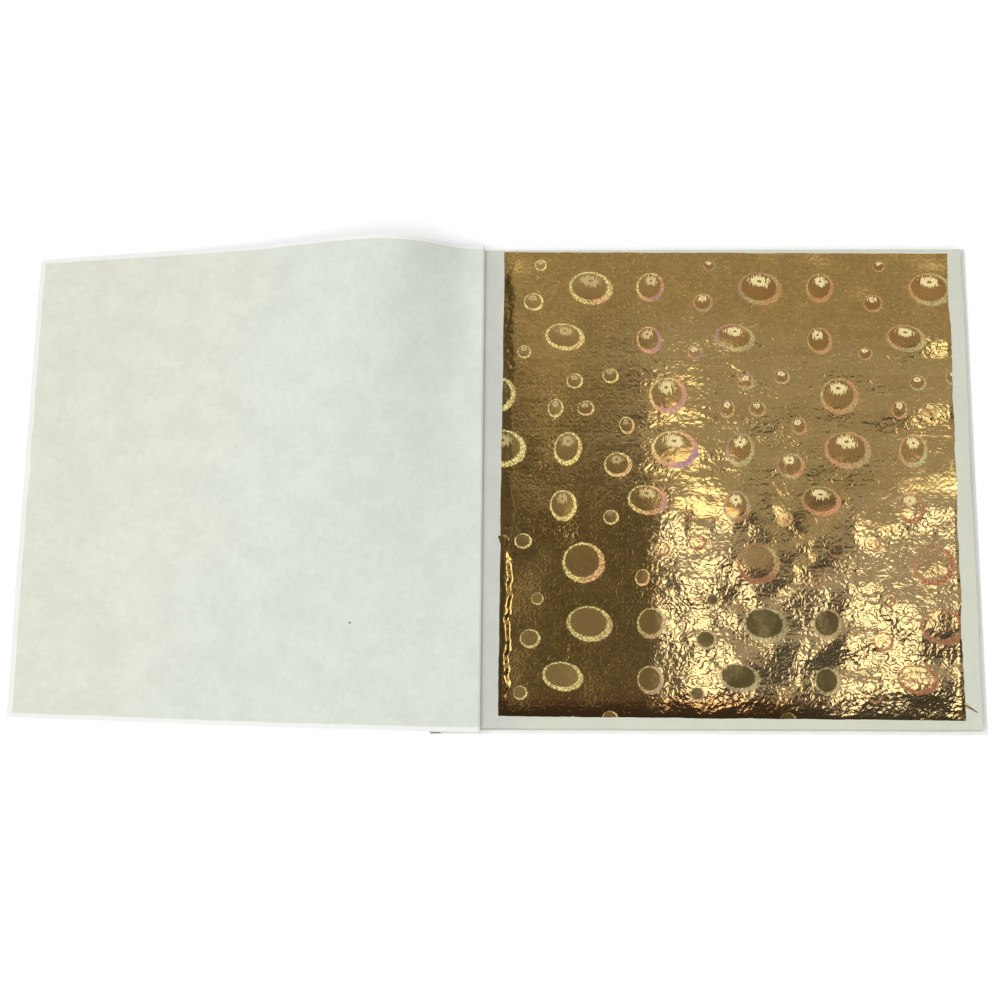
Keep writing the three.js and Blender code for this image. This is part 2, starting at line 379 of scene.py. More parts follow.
def makeDropGroup():
    # each drop's reach is 1 at its rim. The disc inside is off centre, so the ring is wider at its lower
    # right, and Slant is the disc's reach less the drop's. The dome is a share of the drop's width, falling
    # with the square of the reach. The glint is a painted highlight: a burst of streaks round a dark eye
    tree, given, wanted = newGroup(
        "pressedDrops", {"Place": "NodeSocketVector"}, ("Rim", "Core", "Slant", "Dome", "Glint"))
    place, half = given["Place"], (tile["width"] / 2, tile["height"] / 2, 0)
    nearest, inner, dome, lit = 9.0, 9.0, 0.0, 9.0
    for x, y, wide, tall, tilt in tile["drops"]:
        offset = vectors(tree, "SUBTRACT", place, (x, -y, 0))
        wrapped = vectors(tree, "WRAP", offset, half, tuple(-size for size in half))
        if tilt:
            turned = {"Vector": wrapped, "Angle": float(np.radians(-tilt))}
            wrapped = addNode(tree, "VectorRotate", turned, rotation_type="Z_AXIS").outputs[0]
        scaled = vectors(tree, "MULTIPLY", wrapped, (2 / wide, 2 / tall, 0))
        reach = vectors(tree, "LENGTH", scaled, out=1)
        disc = vectors(tree, "LENGTH", vectors(tree, "SUBTRACT", scaled, tile["discOffset"]), out=1)
        nearest = sums(tree, "MINIMUM", nearest, reach)
        inner = sums(tree, "MINIMUM", inner, disc)
        bulge = linear(tree, product(tree, reach, reach), -wide, tile["bulge"] * wide)
        dome = largest(tree, dome, bulge)
        spot = vectors(tree, "MULTIPLY_ADD", scaled, tile["glintStretch"], tile["glintOffset"])
        lit = sums(tree, "MINIMUM", lit, vectors(tree, "LENGTH", spot, out=1))
    ragged = spread(tree, noise(tree, place, tile["raggedSize"], 3, 0.6), tile["ragged"])
    inside = ramp(tree, sums(tree, "ADD", nearest, ragged), *tile["rimRange"])
    core = ramp(tree, sums(tree, "ADD", inner, ragged), *tile["discRange"])
    streaks = noise(tree, place, tile["streakSize"], 2, 0.6, 7, tile["streakStretch"])
    burst = sums(tree, "ADD", lit, spread(tree, streaks, tile["streakReach"]))
    eye = ramp(tree, linear(tree, streaks, tile["eyeReach"], lit), *tile["eyeRange"])
    fill(tree, wanted, {
        "Core": core, "Rim": sums(tree, "SUBTRACT", inside, core, clamp=True), "Dome": dome,
        "Slant": sums(tree, "SUBTRACT", inner, nearest),
        "Glint": product(tree, ramp(tree, burst, *tile["burstRange"]), eye),
    })
    return tree


dropGroup = makeDropGroup()


# Fine creases of beaten metal
creasing = dict(
    pushScale=0.9, push=(1.1, 1.1, 0), facetScale=1.1, facetShare=0.6, ridgeShare=0.7, grainSize=0.28,
    ridges=dict(Scale=1.15, Detail=0.9, Roughness=0.55, Lacunarity=2.1, Offset=0.9, Gain=1.6),
)


def makeCreaseGroup():
    # places are bent by noise. Fine adds ridged noise and flat facets, each tilted its own random way
    tree, given, wanted = newGroup("foilCreases", {"Place": "NodeSocketVector"}, ("Fine", "Grain"))
    place = given["Place"]
    push = {"Vector": place, "Scale": creasing["pushScale"], "Detail": 2.0}
    push = addNode(tree, "TexNoise", push).outputs["Color"]
    bent = vectors(tree, "MULTIPLY_ADD", push, creasing["push"], place)
    ridges = {"Vector": bent, **creasing["ridges"]}
    ridges = addNode(tree, "TexNoise", ridges, noise_type="RIDGED_MULTIFRACTAL", normalize=False)
    cells = {"Vector": bent, "Scale": creasing["facetScale"]}
    cells = addNode(tree, "TexVoronoi", cells, voronoi_dimensions="2D").outputs
    tilt = vectors(tree, "SUBTRACT", cells["Color"], (0.5, 0.5, 0.5))
    facet = vectors(tree, "DOT_PRODUCT", vectors(tree, "SUBTRACT", bent, cells["Position"]), tilt, out=1)
    ridged = product(tree, ridges.outputs["Fac"], creasing["ridgeShare"])
    fine = linear(tree, facet, creasing["facetShare"], ridged)
    fill(tree, wanted, {"Fine": fine, "Grain": noise(tree, place, creasing["grainSize"], 2, 0.6, 5)})
    return tree


creaseGroup = makeCreaseGroup()

# Foil. Places are in mm from the leaf's head corner by the fold, X to the right and Y up
foil = dict(
    # gold and oldGold are the foil's own golds; the pale, band and red golds are painted highlight and
    # shade
    gold=(0.87, 0.54, 0.165), oldGold=(0.66, 0.415, 0.125), paleGold=(0.83, 0.58, 0.26),
    redGold=(0.70, 0.38, 0.14), footDown=(-79, -83), footRight=(62, 45), fleckSize=0.55,
    fleckShare=0.65, cloudSize=4, cloudRange=(0.38, 0.62), bandGold=(0.87, 0.61, 0.21),
    bandRight=(8, 20), bandFrom=(-12, -18), bandTo=(-48, -42), bandStretch=(0.1, 1, 0), bandSize=2.6,
    bandPale=(0.35, 0.65, 0.0, 0.5), bandDark=(0.50, 0.30, 0.0, 0.5), hueWidth=80, hueWander=0.5,
    # the darker disc and rim colours below paint shade on the discs towards the foot
    hueWanderSize=9, ringTurn=0.7, bareCore=0.75, dull=(0.13, 0.088, 0.018), dullRim=(0.42, 0.42, 0.2),
    dullRimShare=0.7, dullDown=(-62, -64), dullRight=(64, 62), dullFade=(6, 38, 0.35, 1.0),
    bareRim=(0.36, 0.09, 0.03), bareRimRange=(0.4, 0.8), bareRimMore=0.6, rimRight=(22, 44, 1.0, 0.75),
    # the glint colour below is a painted highlight
    speckle=(0.42, 0.60, 0.35, 1.0), glint=(0.85, 0.70, 0.33), glintDown=(-54, -46), glintWander=16,
    glintWanderSize=7, glintRight=(22, 32, 0.5, 1.0), rimMatt=0.75, coreMatt=0.04, dullMatt=0.55,
    roughness=0.07, coreRoughness=0.06, rimRoughness=0.25, livelyRoughness=0.02, coat=0.12,
    coatRoughness=0.06, calm=0.27, coreCalm=0.5, dome=0.0015, grain=0.0012,
    rims=[
        (0.0, (0.90, 0.86, 0.34)), (0.24, (0.98, 0.78, 0.26)), (0.38, (0.88, 0.36, 0.20)),
        (0.48, (0.36, 0.16, 0.30)), (0.62, (0.56, 0.52, 0.20)), (0.78, (0.82, 0.26, 0.12)),
        (1.0, (0.52, 0.54, 0.24)),
    ],
    cores=[
        (0.0, (0.74, 0.49, 0.17)), (0.3, (0.68, 0.40, 0.13)), (0.5, (0.60, 0.31, 0.09)),
        (1.0, (0.58, 0.30, 0.09)),
    ],
)


def foilGround(tree, place, at):
    # two golds mixed by flecks and clouds, then painted light: highlight and shade strokes in drawn out
    # bands,
    # a paler gold painted as highlight where lively, and a darker red gold painted as the shade of the
    # curled foot
    flecks = product(tree, noise(tree, place, foil["fleckSize"], 2, 0.7, 12), foil["fleckShare"])
    clouds = linear(tree, noise(tree, place, foil["cloudSize"], 4, 0.65), 1 - foil["fleckShare"], flecks)
    colour = blend(tree, ramp(tree, clouds, *foil["cloudRange"]), foil["gold"], foil["oldGold"])
    streaks = noise(tree, place, foil["bandSize"], 1, 0.5, 21, foil["bandStretch"])
    banded = ramps(tree, foil, bandRight=at["X"], bandFrom=at["Y"], bandTo=at["Y"])
    # painted highlight and shade: pale and dark strokes in the bands
    for reach, tint in (("bandPale", "bandGold"), ("bandDark", "oldGold")):
        share = product(tree, banded, ramp(tree, streaks, *foil[reach]))
        colour = blend(tree, share, colour, foil[tint])
    # painted highlight: a paler gold where the foil is lively
    colour = blend(tree, at["Z"], colour, foil["paleGold"])
    # painted shade: a darker red gold along the curled foot
    foot = ramps(tree, foil, footDown=at["Y"], footRight=at["X"])
    return blend(tree, foot, colour, foil["redGold"])


def makeFoil(name, creaseDepth):
    # the attribute leafPlace holds the place on the leaf, and in Z how lively it is there
    material, tree, shader = newMaterial(name)
    given = addNode(tree, "Attribute", attribute_name="leafPlace").outputs["Vector"]
    place = vectors(tree, "MULTIPLY", given, (1, 1, 0))
    drops = useGroup(tree, dropGroup, {"Place": place})
    creases = useGroup(tree, creaseGroup, {"Place": place})
    at = axes(tree, given)
    lively = at["Z"]
    colour = foilGround(tree, place, at)

    # discs: brown on the calm foil, nearly bare on the lively one, and darker and matt towards the foot as
    # painted shade
    stray = spread(tree, noise(tree, place, foil["hueWanderSize"], 2, 0.5, 6), foil["hueWander"])
    across = linear(tree, at["X"], 1 / foil["hueWidth"], stray)
    dull = ramps(tree, foil, dullDown=at["Y"], dullRight=at["X"])
    bare = product(tree, lively, sums(tree, "SUBTRACT", 1.0, dull))
    dull = product(tree, dull, ramps(tree, foil, dullFade=at["X"]))
    coreShare = product(tree, drops["Core"], linear(tree, bare, -foil["bareCore"], 1.0))
    colour = blend(tree, coreShare, colour, colourSteps(tree, across, foil["cores"]))
    dullCore = product(tree, drops["Core"], dull)
    colour = blend(tree, dullCore, colour, foil["dull"])

    # rims: speckled rings. Their hue turns across the leaf and round each drop
    speckle = ramps(tree, foil, speckle=creases["Grain"], rimRight=at["X"])
    rimShare = product(tree, drops["Rim"], speckle)
    rimShare = sums(tree, "MULTIPLY", rimShare, linear(tree, bare, foil["bareRimMore"], 1.0), clamp=True)
    ringHue = colourSteps(tree, linear(tree, drops["Slant"], foil["ringTurn"], across), foil["rims"])
    rimColour = blend(tree, ramp(tree, bare, *foil["bareRimRange"]), ringHue, foil["bareRim"])
    # painted shade on the rims of the discs towards the foot
    rimColour = blend(tree, product(tree, dull, foil["dullRimShare"]), rimColour, foil["dullRim"])
    colour = blend(tree, rimShare, colour, rimColour)

    # painted highlights: glints on the upper drops, fading out towards the foot and the left
    stray = spread(tree, noise(tree, place, foil["glintWanderSize"], 2, 0.5, 2), -foil["glintWander"])
    upper = ramps(tree, foil, glintDown=sums(tree, "ADD", at["Y"], stray), glintRight=at["X"])
    glint = product(tree, drops["Glint"], upper)
    colour = blend(tree, glint, colour, foil["glint"])

    matt = largest(tree, glint, product(tree, rimShare, foil["rimMatt"]),
                   product(tree, coreShare, foil["coreMatt"]), product(tree, dullCore, foil["dullMatt"]))
    rough = linear(tree, coreShare, foil["coreRoughness"], foil["roughness"])
    rough = linear(tree, lively, foil["livelyRoughness"], rough)
    rough = linear(tree, rimShare, foil["rimRoughness"], rough)
    metallic = sums(tree, "SUBTRACT", 1.0, matt)
    fill(tree, shader, {"Base Color": colour, "Metallic": metallic, "Roughness": rough,
                        "Coat Weight": foil["coat"], "Coat Roughness": foil["coatRoughness"]})

    # height: creases where lively and less on the discs, the broad lean, domes and grain
    strength = linear(tree, lively, 1 - foil["calm"], foil["calm"])
    strength = product(tree, strength, linear(tree, coreShare, -foil["coreCalm"], 1.0), creaseDepth)
    broad = addNode(tree, "Attribute", attribute_name="leafLean").outputs["Fac"]
    height = linear(tree, creases["Fine"], strength, broad)
    height = linear(tree, drops["Dome"], foil["dome"], height)
    bumpInto(tree, shader, linear(tree, creases["Grain"], foil["grain"], height))
    return material


firstFoil = makeFoil("goldFoil", creaseDepth=0.024)
stackFoil = makeFoil("goldFoilUnderneath", creaseDepth=0.08)
print("materials made")


# Surfaces
def smoothStep(a, b, x):
    share = np.clip((x - a) / (b - a), 0, 1)
    return share * share * (3 - 2 * share)


def fades(look, **places):
    # a product of smooth steps, each over the range that the look names
    share = 1
    for key, place in places.items():
        share = share * smoothStep(*look[key], place)
    return share


def lattice(x, y, size, seed):
    # random slopes on a square lattice blended by a quintic ease, about -1 to 1
    slopes = np.random.default_rng(seed).normal(size=(64, 64, 2))
    slopes = slopes / np.linalg.norm(slopes, axis=2, keepdims=True)
    px = np.asarray(x) / size + 1000.37
    py = np.asarray(y) / size + 1000.71
    ix, iy = np.floor(px).astype(int), np.floor(py).astype(int)
    fx, fy = px - ix, py - iy
    easeX, easeY = (f ** 3 * (f * (f * 6 - 15) + 10) for f in (fx, fy))

    def corner(dx, dy):
        slope = slopes[(ix + dx) % 64, (iy + dy) % 64]
        return slope[..., 0] * (fx - dx) + slope[..., 1] * (fy - dy)

    foot = corner(0, 0) + (corner(1, 0) - corner(0, 0)) * easeX
    head = corner(0, 1) + (corner(1, 1) - corner(0, 1)) * easeX
    return 1.4 * (foot + (head - foot) * easeY)


def gridQuads(at):
    return np.stack([at[:-1, :-1], at[:-1, 1:], at[1:, 1:], at[1:, :-1]], -1).reshape(-1, 4)


def aroundGrid(at):
    # the grid's border as four runs of points, one after the other: foot, right, head, left
    return at[0], at[:, -1], at[-1, ::-1], at[::-1, 0]


def slabFaces(lowerShape, upperShape):
    # closed slab between two grids. The lower one may be coarser by a whole number of steps
    below = np.arange(np.prod(lowerShape)).reshape(lowerShape)
    above = np.arange(np.prod(upperShape)).reshape(upperShape) + below.size
    steps = (upperShape[0] - 1) // (lowerShape[0] - 1)
    rim = []
    for lowRun, highRun in zip(aroundGrid(below), aroundGrid(above)):
        back = np.arange(len(lowRun) - 1)[:, None] * steps + np.arange(steps, -1, -1)
        rim.append(np.column_stack([lowRun[:-1], lowRun[1:], highRun[back]]))
    return gridQuads(below)[:, ::-1], gridQuads(above), np.concatenate(rim)


def putSlab(name, lower, upper, material):
    under, over, rim = slabFaces(lower.shape[:2], upper.shape[:2])
    points = np.concatenate([lower.reshape(-1, 3), upper.reshape(-1, 3)]) * mm
    mesh = bpy.data.meshes.new(name)
    mesh.from_pydata(points.tolist(), [], under.tolist() + over.tolist() + rim.tolist())
    mesh.polygons.foreach_set("use_smooth", np.ones(len(mesh.polygons), bool))
    ends = np.empty(2 * len(mesh.edges), int)
    mesh.edges.foreach_get("vertices", ends)
    keys = np.sort(ends.reshape(-1, 2)) @ (len(points), 1)
    rimKeys = np.sort(np.stack([rim, np.roll(rim, -1, 1)], -1).reshape(-1, 2)) @ (len(points), 1)
    mesh.edges.foreach_set("use_edge_sharp", np.isin(keys, rimKeys))
    mesh.materials.append(material)
    mesh.update()
    made = putObject(name, mesh)
    return made


def putValues(made, name, kind, field, lower, upper):
    # one value to a point, for the slab's lower grid and then its upper one
    values = np.concatenate([lower.ravel(), upper.ravel()]).astype(np.float32)
    made.data.attributes.new(name, kind, "POINT").data.foreach_set(field, values)


# Front panel and first tissue, turned over to the left. Both lie on one surface
turned = dict(
    headReach=81.3, footReach=79.2, headDrawIn=1.95, footDrawIn=0.85, crestHeight=6.1,
    crestDistance=20, crestDrift=26, crestSharpness=3, headCornerHeight=0.2, footCornerLift=9.7,
    hingeGap=0.05, coverThickness=0.22, layerGap=0.02, cockle=0.1, cockleSize=17, cockleHeight=88,
    foldCalm=(0, 25), edgeCalm=(0, 12), start=0.04, columns=130, rows=120, foreSize=6, endSize=7,
    foreCut=(0.8, 1), coverRipple=0.12, tissueRipple=0.2, creaseRows=60, creaseColumns=14, slopeAt=0.5,
)


def turnedHeight(distance, share):
    # a bump that sharpens towards the head, less a drop that grows with the square of the distance
    def bump(x, at):
        return (x / at * np.exp(1 - x / at)) ** turned["crestSharpness"]

    crestAt = turned["crestDistance"] + (1 - share) * turned["crestDrift"]
    edge = turned["crestHeight"] * bump(panelWidth, turned["crestDistance"])
    drop = hingeHeight - turned["headCornerHeight"] + edge
    head = turned["crestHeight"] * bump(distance, crestAt) - drop * (distance / panelWidth) ** 2
    foot = turned["footCornerLift"] * distance / panelWidth
    away = fades(turned, foldCalm=distance, edgeCalm=panelWidth - distance)
    rough = lattice(distance, share * turned["cockleHeight"], turned["cockleSize"], 3)
    return foot + (head - foot) * share + turned["cockle"] * away * rough


def turnedPoint(distance, v):
    # the reach goes evenly from foot to head, and the ends are drawn in with the square of the distance
    share = v / panelHeight + 0.5
    out = distance / panelWidth
    reach = turned["footReach"] + (turned["headReach"] - turned["footReach"]) * share
    drawIn = (turned["headDrawIn"] + turned["footDrawIn"]) * share - turned["footDrawIn"]
    return np.stack([-reach * out, v - drawIn * out ** 2, hingeHeight + turnedHeight(distance, share)], -1)


def turnedLayer(distance, v, offset):
    # the surface moved out along its normal, which is the cross product of its two slopes
    step = 0.05
    outward = turnedPoint(distance + step, v) - turnedPoint(np.maximum(distance - step, 0), v)
    headward = turnedPoint(distance, v + step) - turnedPoint(distance, v - step)
    normal = np.cross(headward, outward)
    normal /= np.linalg.norm(normal, axis=-1, keepdims=True)
    return turnedPoint(distance, v) + normal * offset


def turnedSheet(name, width, height, inner, thickness, ripple, material, node):
    # a slab between two layers of the turned surface, put on the node's body in place of the hidden node
    share = np.linspace(1, 0, turned["columns"])
    up = np.linspace(-0.5, 0.5, turned["rows"])
    outShare, upShare = np.meshgrid(share, up)
    cut = ripple * lattice(upShare * height, upShare * 0 + width, turned["foreSize"], 11)
    cut = cut * fades(turned, foreCut=outShare)
    distance = turned["start"] + outShare * (width - turned["start"] + cut)
    v = upShare * (height + ripple * lattice(outShare * width, upShare * 0, turned["endSize"], 12))
    lower = turnedLayer(distance, v, inner)
    upper = turnedLayer(distance, v, inner + thickness)
    made = putSlab(name, lower, upper, material)
    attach(made, node)
    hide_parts(node)
    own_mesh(made)


coverInner = turned["hingeGap"]
tissueInner = coverInner + turned["coverThickness"] + turned["layerGap"]
turnedSheet("front_panel", panelWidth, panelHeight, coverInner, turned["coverThickness"],
            turned["coverRipple"], coverPaper, "front_cover")
turnedSheet("turned_tissue", tissueWidth, tissueHeight, tissueInner, tissueThickness,
            turned["tissueRipple"], turnedPaper, "tissue_01")
print("turned sheets made")


# Creases at the fold: half rings that join the bound side to the turned sheets
def crease(name, height, inner, thickness, material):
    # an arc ends at the angle of the turned sheet's slope just out from the fold
    v = np.linspace(-height / 2, height / 2, turned["creaseRows"])
    slope = turnedHeight(np.full_like(v, turned["slopeAt"]), v / panelHeight + 0.5) / turned["slopeAt"]
    end = np.pi - np.arctan(slope * panelWidth / turned["footReach"])
    turn = end[:, None] * (1 - np.linspace(0, 1, turned["creaseColumns"])[None, :])
    vv = np.broadcast_to(v[:, None], turn.shape)
    rings = []
    for radius in (inner, inner + thickness):
        rings.append(np.stack([radius * np.sin(turn), vv, hingeHeight - radius * np.cos(turn)], -1))
    made = putSlab(name, rings[0], rings[1], material)
    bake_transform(made)


crease("cover_crease", panelHeight, coverInner, turned["coverThickness"],
       coverPaper)
crease("tissue_crease", tissueHeight, tissueInner, tissueThickness,
       turnedPaper)


# Wrapper: back panel, spine and margin flap, one sheet whose section is two flats joined by two arcs
wrapper = dict(
    thickness=0.22, spineRadius=0.5, panelPoints=60, flapPoints=10, arcPoints=9, spinePoints=4,
    rows=90, trim=0.07, trimSize=9,
)


def makeWrapper():
    # the section's middle line is moved both ways along its normal by half the thickness
    back, top = low("back_cover")[0], high("back_cover")[2]
    bend, middle = wrapper["spineRadius"], wrapper["thickness"] / 2
    radius = bend - middle
    quarter = np.linspace(0, np.pi / 2, wrapper["arcPoints"])
    centreX = back + bend
    bottomX = np.linspace(panelWidth, centreX, wrapper["panelPoints"])[:-1]
    topX = np.linspace(centreX, 0, wrapper["flapPoints"])[1:]
    spine = np.linspace(bend, top - bend, wrapper["spinePoints"])[1:-1]
    x = np.concatenate([bottomX, centreX - radius * np.sin(quarter), spine * 0 + back + middle,
                        centreX - radius * np.cos(quarter), topX])
    z = np.concatenate([bottomX * 0 + middle, bend - radius * np.cos(quarter), spine,
                        top - bend + radius * np.sin(quarter), topX * 0 + top - middle])
    alongX, alongZ = np.gradient(x), np.gradient(z)
    length = np.hypot(alongX, alongZ)
    outX, outZ = -alongZ / length, alongX / length
    rough = lattice(x, x * 0, wrapper["trimSize"], 21)[None, :]
    y = np.linspace(-0.5, 0.5, wrapper["rows"])[:, None]
    trimmed = y * (panelHeight - wrapper["trim"] + wrapper["trim"] * rough)
    layers = []
    for side in (middle, -middle):
        places = np.broadcast_arrays((x + side * outX)[None, :], trimmed, (z + side * outZ)[None, :])
        layers.append(np.stack(places, -1))
    made = putSlab("cover_wrapper", layers[0], layers[1], coverPaper)
    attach(made, "binding")
    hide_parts("back_cover")


makeWrapper()


# Tissues of the stack. They share one slow wave, and each bends out of the margin
stack = dict(
    wave=0.12, waveSize=38, waveFrom=(3, 20), trim=0.16, trimFrom=60, foreSize=14, foreShift=3.7,
    endSize=16, endShift=2.9, bendWidth=3.3, bendColumns=8, columns=26, rows=28,
)


def stackLift(x, y, z):
    # half of noise and half level, growing with the height in the stack and out from the fold
    away = fades(stack, waveFrom=x) * z / stackTop
    return stack["wave"] * away * (0.5 + 0.5 * lattice(x, y, stack["waveSize"], 31))


def sheetLayers(node, x, y, lift):
    # lower and upper grids at the node's own levels, lifted
    return [np.stack([x, y, level + lift], -1) for level in (low(node)[2], high(node)[2])]


def makePage(number):
    # flat between the node's levels and lifted, its fore edge and ends moved by noise
    node = f"tissue_{number:02d}"
    x = np.concatenate([np.linspace(0, stack["bendWidth"], stack["bendColumns"])[:-1],
                        np.linspace(stack["bendWidth"], tissueWidth, stack["columns"])])
    xx, yy = np.meshgrid(x, np.linspace(-tissueHeight / 2, tissueHeight / 2, stack["rows"]))
    fore = lattice(yy, yy * 0 + number * stack["foreShift"], stack["foreSize"], 41)
    ends = lattice(xx, xx * 0 + number * stack["endShift"], stack["endSize"], 42)
    xx = xx + stack["trim"] * (fore - 0.5) * smoothStep(stack["trimFrom"], tissueWidth, xx)
    yy = yy * (1 + stack["trim"] * ends / tissueHeight)
    lower, upper = sheetLayers(node, xx, yy, stackLift(xx, yy, high(node)[2]))
    made = putSlab(f"page_{number:02d}", lower, upper, pagePaper)
    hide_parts(node)
    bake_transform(made)


for number in pageNumbers:
    makePage(number)
print("pages made")


# Leaves. The first is creased and pressed with real drops, and its spine side is crumpled over.
# Those underneath are flat, ragged sheets. The underside of the first is coarser than its face
leaf = dict(
    width=80, height=85, skew=-0.37, skewStep=137, centre=(43.56, 0.62), firstColumns=289,
    firstRows=305, firstStep=4, columns=40, rows=42, tearNoise=(0.3, 9), fineTearNoise=(0.12, 1.6),
    spineTear=0.5, endTear=0.4, rollShift=(11.3, -23.9),
)


def wander(x, y, look, seed):
    # noise of a given height and size
    return look[0] * lattice(x, y, look[1], seed)


def leafOutline(columns, rows, number):
    # a rectangle whose sides are moved by two sizes of noise. Places are right of and up from its head
    # corner by the fold
    s, t = np.meshgrid(np.linspace(0, 1, columns), np.linspace(0, 1, rows))
    width, height = leaf["width"], leaf["height"]
    seed = 50 + 4 * number

    def tear(along, shift):
        fine = wander(along, along * 0, leaf["fineTearNoise"], seed + 1)
        return wander(along, along * 0 + shift, leaf["tearNoise"], seed) + fine

    left, right = tear(t * height, 0) * leaf["spineTear"], width + tear(t * height, 7)
    foot, head = -height + tear(s * width, 3) * leaf["endTear"], tear(s * width, 11) * leaf["endTear"]
    return left + (right - left) * s, foot + (head - foot) * t


# How lively the first leaf is: the share of full creasing
zone = dict(
    noise=(6, 11), fineNoise=(2, 2.5), down=(41, 52), right=(25, 28.5), calmAt=(52, -50), calmSize=11,
    calmEdge=(1.3, 0.4), calm=0.6, bandRight=(12, 26), bandDown=(12, 20), bandEnd=(52, 42), least=0.06,
    banded=0.34,
)


def liveliness(x, y):
    # most at the lower right, less over a calm patch in it and over the soft bands above
    stray = wander(x, y, zone["noise"], 61) + wander(x, y, zone["fineNoise"], 60)
    lower = fades(zone, down=stray - y, right=stray / 3 + x)
    calmX, calmY = ((place - at) / zone["calmSize"] for place, at in zip((x, y), zone["calmAt"]))
    calm = fades(zone, calmEdge=np.hypot(calmX, calmY) + stray / 20)
    banded = fades(zone, bandRight=x + stray, bandDown=stray - y, bandEnd=stray - y)
    return np.maximum(lower * (1 - zone["calm"] * calm), zone["least"] + zone["banded"] * banded)


# The first leaf's broad lean, which only the shading holds. Each strip has its slope and where its sides
# begin and end
lean = dict(
    bendFrom=50, bendOver=32, start=(2.5, 34.5), end=(10, -14, 69), strayNoise=(0.8, 7),
    driftNoise=(4, 9), driftStretch=0.3, before=(0.025, (12, 16), (-10, -7)),
    lobe=(0.035, (-5, -2), (0, 4)), main=(0.08, (0, 4), (-12, 0)), rippleNoise=(0.04, 8),
    rippleRight=(26, 16), rippleDown=(30, 42), dent=0.05, dentAt=(7, -55), dentStep=2,
    dentSize=(12, 5), swayNoise=(0.12, 8), fineSwayNoise=(0.048, 3.4), swayRight=(22, 34),
    swayDown=(36, 50),
)


def smoothRise(a, b, x):
    # the running sum of smoothStep: level before a, and a slope of 1 after b
    share = np.clip((x - a) / (b - a), 0, 1)
    return (b - a) * (share ** 3 - share ** 4 / 2) + np.maximum(x - b, 0)


def leaning(x, y):
    # it rises a little towards the right, falls in a lobe, and falls on over the main strip. The sides of
    # the strips bend. A step across a slant line makes a dent, and noise adds ripple and sway
    def strip(look, near, far):
        slope, (a, b), (c, d) = look
        return slope * (smoothRise(near + a, near + b, x) - smoothRise(far + c, far + d, x))

    t = np.clip((-y - lean["bendFrom"]) / lean["bendOver"], -0.5, 1)
    stray = wander(x, y, lean["strayNoise"], 58)
    start = np.polyval(lean["start"], t) + stray
    end = np.polyval(lean["end"], t) + stray
    end = end + wander(x * lean["driftStretch"], y, lean["driftNoise"], 55)
    ripple = wander(x, y, lean["rippleNoise"], 57) * fades(lean, rippleRight=x, rippleDown=-y)
    dx, dy = x - lean["dentAt"][0], y - lean["dentAt"][1]
    across, along = 0.7 * (dx + dy), 0.7 * (dx - dy)
    wide, tall = lean["dentSize"]
    dent = np.tanh(across / lean["dentStep"]) * np.exp(-(across / wide) ** 2 - (along / tall) ** 2)
    sway = wander(x, y, lean["swayNoise"], 59) + wander(x, y, lean["fineSwayNoise"], 56)
    strips = strip(lean["before"], 0, start) - strip(lean["lobe"], start, start)
    strips = strips - strip(lean["main"], start, end)
    return ripple + lean["dent"] * dent + sway * fades(lean, swayRight=x, swayDown=-y) + strips


# Real relief of the first leaf's face
relief = dict(
    dome=0.0035, discEdge=(0.9, 0.7), discCalm=0.6, warpNoise=(0.9, 2.4), narrowing=1.6, crease=0.024,
    creaseSize=1.25, fineCrease=0.014, fineSize=0.65, bandRight=(18, 26), bandDown=(12, 20),
    bandEnd=(52, 40), band=0.015, bandSize=1.1, bandStretch=0.45, wave=0.012, waveLength=8,
    waveNoise=(3, 16), swell=0.05, swellSize=17, swellRight=(0, 8), swellDown=(0, 14), edgeFade=0.5,
    footFold=3.4, footRise=0.14, footSlope=9, footRight=(62, 40),
)


def dropHeights(x, y):
    # each drop is a low dome, its height a share of its width, falling with the square of the reach
    dome, disc = np.zeros_like(x), np.zeros_like(x)
    acrossTile, downTile = tile["width"], tile["height"]
    for a, b, wide, tall, tilt in tile["drops"]:
        dx = (x - a + acrossTile / 2) % acrossTile - acrossTile / 2
        dy = (y + b + downTile / 2) % downTile - downTile / 2
        angle = np.radians(-tilt)
        rx = dx * np.cos(angle) - dy * np.sin(angle)
        ry = dx * np.sin(angle) + dy * np.cos(angle)
        reach = np.hypot(2 * rx / wide, 2 * ry / tall)
        dome = np.maximum(dome, relief["dome"] * wide * np.clip(1 - reach ** 2, 0, 1))
        disc = np.maximum(disc, fades(relief, discEdge=reach))
    return dome, disc


def ridges(x, y, size, seed):
    # sharp ridges along the lines where a warped noise is nought
    warpX, warpY = (wander(x, y, relief["warpNoise"], seed + more) for more in (1, 2))
    away = np.abs(lattice(x + warpX, y + warpY, size, seed))
    return (1 - np.minimum(relief["narrowing"] * away, 1)) ** 2


# Crumpled strip by the fold, and the rolled edge below it. A crumple is its share and two stretches
edge = dict(
    width=1.9, height=0.16, level=0.8, noise=(0.35, 6), fineNoise=(0.12, 0.9), slope=11,
    crumple=(0.55, 1.3, 0.8), crumpleSize=0.8, smooth=(-0.2, 0.5), begins=(0, 6),
    ends=(60, 52), rollAt=0.9, rollNoise=(0.5, 5), fineRollNoise=(0.25, 1.1), rollWidth=0.85,
    rollWidthNoise=(0.5, 1.7), rollBegins=(54, 60), rollEnds=(84, 76), rollRise=0.18,
    rollCrumple=(0.3, 1.6, 0.3), rollCrumpleSize=0.5,
)


